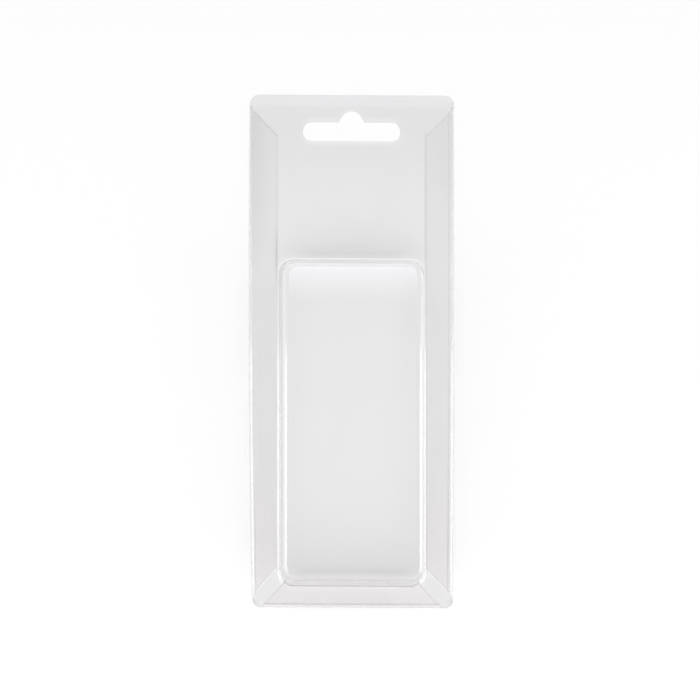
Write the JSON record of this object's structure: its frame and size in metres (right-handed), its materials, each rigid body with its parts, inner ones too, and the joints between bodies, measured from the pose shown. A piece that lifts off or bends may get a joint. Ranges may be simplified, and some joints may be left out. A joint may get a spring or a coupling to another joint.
{
  "type": "blister tray",
  "caption": "Clear slide blister with a deep rectangular bubble, edges folded back on three sides to hold a backing card, and a hang hole near the top.",
  "frame": {"origin": "middle of the panel, in the plane of the folded flaps that the pack lies on", "axes": "+Y up the panel towards the hang hole, +Z out of the bubble, +X to the right when the bubble faces the viewer and the hang hole is at the top"},
  "size_m": [0.067, 0.1676, 0.0207],
  "materials": {
    "clear_sheet": "gloss"
  },
  "bodies": {
    "root": {"blister_tray": "clear_sheet"}
  },
  "joints": []
}
